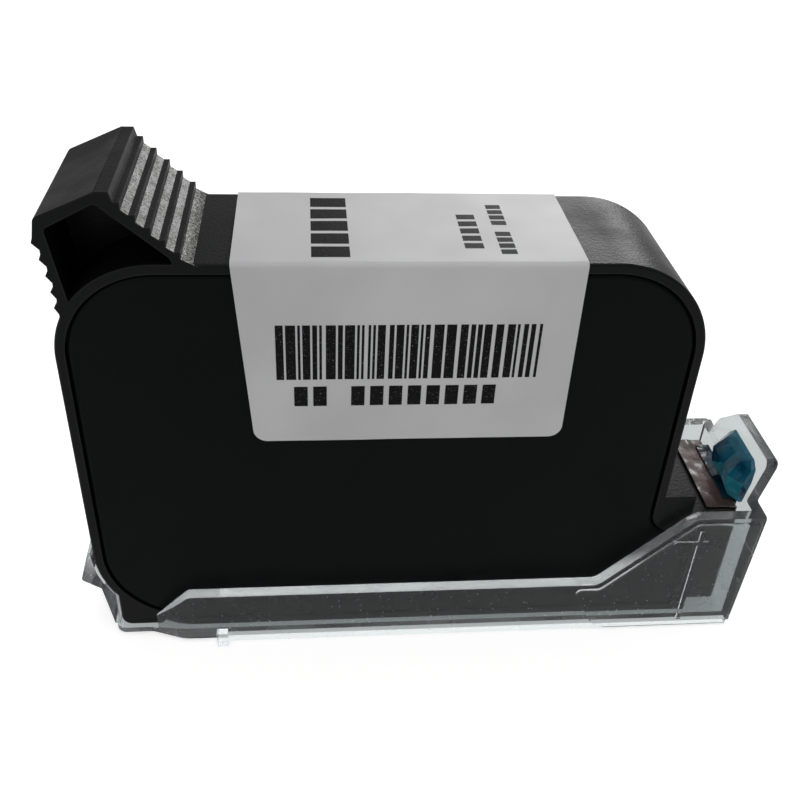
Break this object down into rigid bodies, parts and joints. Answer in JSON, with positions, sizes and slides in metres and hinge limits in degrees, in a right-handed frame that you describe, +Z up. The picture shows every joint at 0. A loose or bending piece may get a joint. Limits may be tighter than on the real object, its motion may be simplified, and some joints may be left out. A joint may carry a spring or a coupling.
{
  "type": "inkjet print cartridge for a date coder",
  "caption": "Flat black thermal inkjet cartridge with a ribbed grip, label, snout with nozzle tape, and a clear clip-on cap.",
  "frame": {"origin": "under the middle of the object, on the surface that it lies on", "axes": "+X towards the nozzle end, +Y from the front side cover to the back one, +Z up"},
  "size_m": [0.0934, 0.0248, 0.0663],
  "materials": {
    "frame_black": "grained black plastic with rubbed edges",
    "cover_black": "smooth satin black plastic",
    "inner_grey": "grey inner frame plastic",
    "bag_film": "thin metallised film",
    "spring_steel": "bright stainless spring steel",
    "filter_steel": "fine stainless weave",
    "ball_steel": "polished steel ball",
    "silicon": "dark gold nozzle plate on silicon",
    "bead_resin": "glossy black encapsulant",
    "flex": "brown copper-backed polyimide film",
    "gold": "gold-plated contact pads",
    "paper": null,
    "tape_teal": "translucent teal film tape",
    "clear": "clear moulded plastic with light edges"
  },
  "bodies": {
    "cartridge": {"outer_frame": "frame_black", "inner_frame": "inner_grey", "front_cover": "cover_black", "back_cover": "cover_black", "front_film": "bag_film", "back_film": "bag_film", "bow_spring": "spring_steel", "filter_screen_front": "filter_steel", "filter_screen_back": "filter_steel", "printhead_die": "silicon", "encapsulant_bead_upper": "bead_resin", "encapsulant_bead_lower": "bead_resin", "flex_circuit": "flex", "contact_pads": "gold", "fill_port_ball": "ball_steel", "label": "paper"},
    "nozzle_tape": {"nozzle_tape": "tape_teal"},
    "protective_cap": {"protective_cap": "clear"},
    "cap_latch": {"cap_latch_arm": "clear"},
    "front_plate": {"front_pressure_plate": "spring_steel"},
    "back_plate": {"back_pressure_plate": "spring_steel"}
  },
  "joints": [
    {"name": "cap_slide", "type": "slide", "parent": "cartridge", "child": "protective_cap", "axis": [0, 0, -1], "range_m": [0, 0.03]},
    {"name": "cap_latch_hinge", "type": "hinge", "parent": "protective_cap", "child": "cap_latch", "pos_m": [-0.04303, 0, 0.00185], "axis": [0, -1, 0], "range_deg": [0, 12], "stiffness_Nm_per_rad": 0.05},
    {"name": "tape_peel", "type": "slide", "parent": "cartridge", "child": "nozzle_tape", "axis": [0, 0, 1], "range_m": [0, 0.024]},
    {"name": "front_plate_travel", "type": "slide", "parent": "cartridge", "child": "front_plate", "axis": [0, 1, 0], "range_m": [0, 0.005], "deforming": ["bow_spring"]},
    {"name": "back_plate_travel", "type": "slide", "parent": "cartridge", "child": "back_plate", "axis": [0, -1, 0], "range_m": [0, 0.005], "deforming": ["bow_spring"]}
  ],
  "couplings": [
    {"joint": "back_plate_travel", "follows": "front_plate_travel", "ratio": 1}
  ]
}
